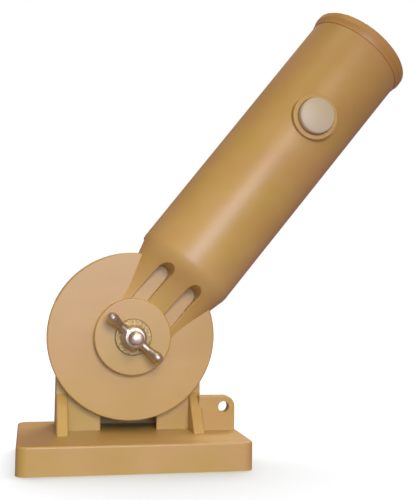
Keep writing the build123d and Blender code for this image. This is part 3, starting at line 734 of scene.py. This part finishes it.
def spring_rings(rise, place):
    """Rings of wire along the coil, whose turns lie closer towards both ends."""
    rings = []
    steps = SPRING_TURNS * SPRING_CUTS
    for k in range(steps + 1):
        part = k / steps
        closing = SPRING_END_CLOSE * math.sin(2 * math.pi * part) / (2 * math.pi)
        middle = SPRING_WIRE_R + rise * (part - closing)
        turn = 2 * math.pi * SPRING_TURNS * part
        points = []
        for i in range(SPRING_WIRE_STEPS):
            angle = 2 * math.pi * i / SPRING_WIRE_STEPS
            reach = SPRING_R + SPRING_WIRE_R * math.cos(angle)
            height = middle + SPRING_WIRE_R * math.sin(angle)
            points.append(place @ Vector((reach * math.cos(turn), reach * math.sin(turn), height)))
        rings.append(points)
    return rings


def coil_spring():
    """Coil spring whose end turns close up."""
    press = joint_named("button_press")
    inwards = Vector(press["axis"])
    low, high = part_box("button_spring")
    length = high.y - low.y
    rear = Vector(((low.x + high.x) / 2, high.y, (low.z + high.z) / 2))
    bm = bmesh.new()
    add_skin(bm, spring_rings(length - 2 * SPRING_WIRE_R, axes_at(rear, -inwards)))
    mesh = to_mesh(bm, "coil_spring")
    mesh.set_sharp_from_angle(angle=CREASE)
    spring = piece("coil_spring", mesh, "arm", "button_spring", "zinc_steel")
    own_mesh(spring)


# ---------------------------------------------------------------- studio
def camera():
    """The camera, from its place, its direction and its small roll."""
    flat = Vector((math.sin(CAMERA_YAW), math.cos(CAMERA_YAW), 0))
    side = Vector((math.cos(CAMERA_YAW), -math.sin(CAMERA_YAW), 0))
    ahead = flat * math.cos(CAMERA_PITCH) + Vector((0, 0, math.sin(CAMERA_PITCH)))
    up = Vector((0, 0, math.cos(CAMERA_PITCH))) - flat * math.sin(CAMERA_PITCH)
    right = side * math.cos(CAMERA_ROLL) - up * math.sin(CAMERA_ROLL)
    top = side * math.sin(CAMERA_ROLL) + up * math.cos(CAMERA_ROLL)
    data = bpy.data.cameras.new("camera")
    data.lens = CAMERA_LENS
    data.sensor_width = CAMERA_SENSOR
    data.sensor_fit = "AUTO"
    data.clip_start = CAMERA_NEAR
    eye = bpy.data.objects.new("camera", data)
    bpy.context.scene.collection.objects.link(eye)
    axes = Matrix((right, top, -ahead)).transposed().to_4x4()
    eye.matrix_world = Matrix.Translation(CAMERA_AT) @ axes
    bpy.context.scene.camera = eye


def world():
    """White to the camera, a dim even room to everything else."""
    sky = bpy.data.worlds.new("studio")
    sky.use_nodes = True
    tree = sky.node_tree
    tree.nodes.clear()
    out = tree.nodes.new("ShaderNodeOutputWorld")
    back = tree.nodes.new("ShaderNodeBackground")
    path = tree.nodes.new("ShaderNodeLightPath")
    level = tree.nodes.new("ShaderNodeMix")
    level.data_type = "RGBA"
    level.inputs[MIX_A].default_value = (*ROOM_COLOUR, 1.0)
    level.inputs[MIX_B].default_value = (1, 1, 1, 1)
    tree.links.new(path.outputs["Is Camera Ray"], level.inputs["Factor"])
    tree.links.new(level.outputs[MIX_OUT], back.inputs["Color"])
    tree.links.new(back.outputs["Background"], out.inputs["Surface"])
    bpy.context.scene.world = sky


def floor():
    """A pale floor that the object stands on; it isn't seen in reflections or bounced light."""
    corners = [(sx * FLOOR_HALF, sy * FLOOR_HALF, 0) for sx, sy in ((-1, -1), (1, -1), (1, 1), (-1, 1))]
    mesh = bpy.data.meshes.new("floor")
    mesh.from_pydata(corners, [], [(0, 1, 2, 3)])
    mesh.materials.append(paper("floor_paper"))
    ground = bpy.data.objects.new("floor", mesh)
    bpy.context.scene.collection.objects.link(ground)
    ground.visible_glossy = False
    ground.visible_diffuse = False
    return ground


def lamp_towards(name, data, direction, receivers):
    """Links a lamp that shines along a direction, on its own receivers only."""
    lamp = bpy.data.objects.new(name, data)
    bpy.context.scene.collection.objects.link(lamp)
    lamp.rotation_euler = direction.to_track_quat("-Z", "Y").to_euler()
    lamp.light_linking.receiver_collection = receivers
    return lamp


def lights(ground):
    """Soft lamps in front, above and behind for the object, and a broad sun for the floor."""
    all_but_floor = bpy.data.collections.new("lit_by_lamps")
    all_but_floor.objects.link(ground)
    all_but_floor.collection_objects[0].light_linking.link_state = "EXCLUDE"
    for name, place, aim, size, watts, colour, spread in LAMPS:
        data = bpy.data.lights.new(name, "AREA")
        data.shape = "RECTANGLE"
        data.size, data.size_y = size
        data.energy = watts
        data.color = colour
        data.spread = math.radians(spread)
        lamp = lamp_towards(name, data, Vector(aim) - Vector(place), all_but_floor)
        lamp.location = place
    only_floor = bpy.data.collections.new("lit_by_sun")
    only_floor.objects.link(ground)
    sun = bpy.data.lights.new("floor_sun", "SUN")
    sun.energy = SUN_STRENGTH
    sun.angle = SUN_WIDTH
    lamp_towards("floor_sun", sun, SUN_DIRECTION, only_floor)


# ---------------------------------------------------------------- the scene
finish_cad_nodes()
wing_nut()
carriage_bolt()
deck_pad()
ribbed_cushion()
domed_cap()
coil_spring()

camera()
world()
lights(floor())
scene = bpy.context.scene
scene.view_settings.view_transform = "Standard"
scene.view_settings.look = "None"
